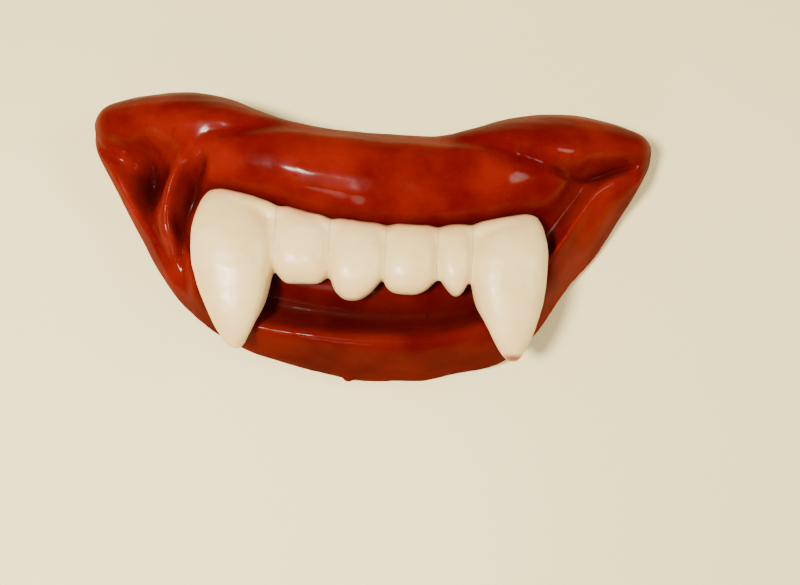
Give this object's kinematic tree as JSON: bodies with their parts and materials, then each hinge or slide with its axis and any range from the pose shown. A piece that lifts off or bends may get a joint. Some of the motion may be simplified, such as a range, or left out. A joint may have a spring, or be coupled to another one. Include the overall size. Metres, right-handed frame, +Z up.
{
  "type": "vampire fang denture",
  "caption": "Hollow novelty vampire mouth cast in red wax, with long white fangs, short front teeth and a bite tab behind that the wearer holds between the teeth.",
  "frame": {"origin": "on the surface that the denture lies on, under the middle of its outline", "axes": "+Z up out of the table, the way that the front of the mouth faces as it lies on its back; +X from the wearer's right corner to the left corner, seen from the front left to right; +Y towards the nose side"},
  "size_m": [0.082, 0.041, 0.0194],
  "materials": {
    "red_wax": "translucent deep red wax, softly glossy, with faint bloom, cloudy mottling and hand-cast marks",
    "white_wax": "warm ivory wax, satin, slightly translucent at the tips, soft grooves between the teeth"
  },
  "bodies": {
    "root": {"lips": "red_wax", "fang_left": "white_wax", "incisor_left_outer": "white_wax", "incisor_left_inner": "white_wax", "incisor_right_inner": "white_wax", "incisor_right_outer": "white_wax", "fang_right": "white_wax"}
  },
  "joints": []
}
